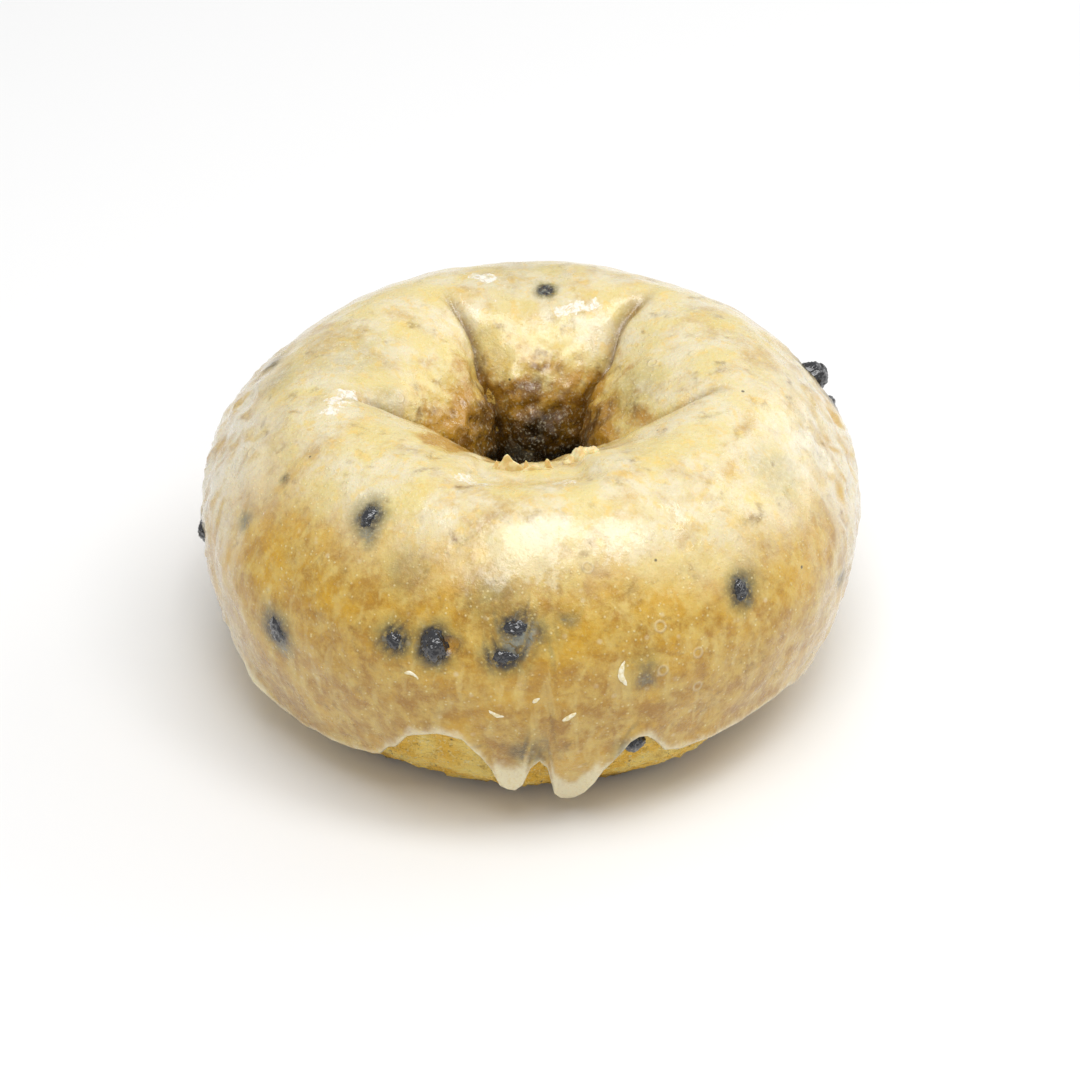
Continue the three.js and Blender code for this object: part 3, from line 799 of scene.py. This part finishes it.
flakes = {  # azimuth, tube angle, width, height
    "flake_large": (262.2, 118, 0.0044, 0.0022),
    "flake_left": (256.0, 118, 0.0014, 0.0010),
    "flake_middle": (268.5, 118, 0.0012, 0.0011),
    "flake_right": (277.5, 118, 0.0012, 0.0013),
    "flake_low_right": (273.0, 117, 0.0046, 0.0006),
}
flake_root = 0.0006  # what stands in the glaze
flake_lean, flake_cupping = 0.0002, 0.0004  # over the hole at its top, and back at its two sides
flake_wall = 0.00035
for name, (place_azimuth, place_tube, width, height) in flakes.items():
    foot = on_glaze(place_azimuth, place_tube)
    foot = foot + lumps_at(foot)
    bpy.ops.object.select_all(action="DESELECT")
    bpy.ops.mesh.primitive_grid_add(x_subdivisions=24, y_subdivisions=14, size=1)
    flake = bpy.context.object
    flake.name = flake.data.name = name
    points = np.array([vertex.co for vertex in flake.data.vertices])
    sideways, up = points[:, 0] * 2, points[:, 1] + 0.5
    # A ragged triangle, with its peak a little to one side.
    ragged = 1 + 0.10 * np.sin(7 * sideways + place_azimuth)
    from_peak = np.abs(sideways + 0.35 * (1 - sideways**2))
    top = np.maximum(1 - from_peak**1.2, 0.04) * ragged * height
    along_lip, to_hole = np.radians(place_azimuth + 90), np.radians(place_azimuth)
    across = sideways * width / 2
    inward = flake_lean * up**2 - flake_cupping * sideways**2
    points = np.stack([
        across * np.cos(along_lip) - inward * np.cos(to_hole),
        across * np.sin(along_lip) - inward * np.sin(to_hole),
        up * (top + flake_root) - flake_root,
    ], axis=-1)
    move_vertices(flake, points + foot)
    wall = flake.modifiers.new("wall", "SOLIDIFY")
    wall.thickness, wall.offset = flake_wall, 0
    rounding = flake.modifiers.new("rounding", "SUBSURF")
    rounding.levels = rounding.render_levels = 1
    apply_modifiers(flake)
    roughen(flake, name, 0.0009, 0.00018, noise_depth=1)
    bpy.ops.object.shade_smooth()
    flake.data.materials.append(material)
    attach(flake, "root")


# The floor: a plain pale sheet that the doughnut stands on.
bpy.ops.object.select_all(action="DESELECT")
bpy.ops.mesh.primitive_plane_add(size=6)
floor = bpy.context.object
floor.name = "floor"
material, tree, shader = new_material("floor_white")
shader.inputs["Base Color"].default_value = (0.86, 0.86, 0.86, 1)
shader.inputs["Roughness"].default_value = 0.9
floor.data.materials.append(material)


# The light: a white room, with two softboxes overhead and one behind on the right.
world = bpy.data.worlds.new("white_room")
bpy.context.scene.world = world
world.use_nodes = True
world.node_tree.nodes["Background"].inputs["Color"].default_value = (1, 1, 1, 1)
world.node_tree.nodes["Background"].inputs["Strength"].default_value = 0.58


def softbox(name, place, width, height, power):
    """A lamp with a rectangular face that points at the doughnut's middle."""
    light = bpy.data.lights.new(name, "AREA")
    light.shape = "RECTANGLE"
    light.size, light.size_y = width, height
    light.energy = power
    lamp = bpy.data.objects.new(name, light)
    lamp.location = place
    lamp.rotation_euler = (middle - Vector(place)).to_track_quat("-Z", "Y").to_euler()
    bpy.context.scene.collection.objects.link(lamp)


middle = Vector((0, 0, 0.02))
softbox("overhead", (-0.01, -0.21, 0.72), 0.30, 0.50, 2.5)
softbox("overhead_right", (0.27, -0.12, 0.70), 0.19, 0.34, 1.3)
softbox("behind_right", (0.70, 0.42, 0.46), 0.60, 0.50, 1.6)


# The camera, with a long lens, which looks down on the front of the doughnut from 35 degrees up.
elevation = radians(35.1)
distance = 0.45
aim = Vector((0, 0, 0.021))
back = Vector((0, -cos(elevation), sin(elevation)))
camera_data = bpy.data.cameras.new("camera")
camera_data.sensor_width = 36
camera_data.lens = 115.8
camera_data.shift_x, camera_data.shift_y = 0.0102, -0.0288
camera_data.clip_start, camera_data.clip_end = 0.01, 10
camera = bpy.data.objects.new("camera", camera_data)
camera.location = aim + back * distance
camera.rotation_euler = (-back).to_track_quat("-Z", "Y").to_euler()
bpy.context.scene.collection.objects.link(camera)
bpy.context.scene.camera = camera
bpy.context.scene.view_settings.view_transform = "Standard"
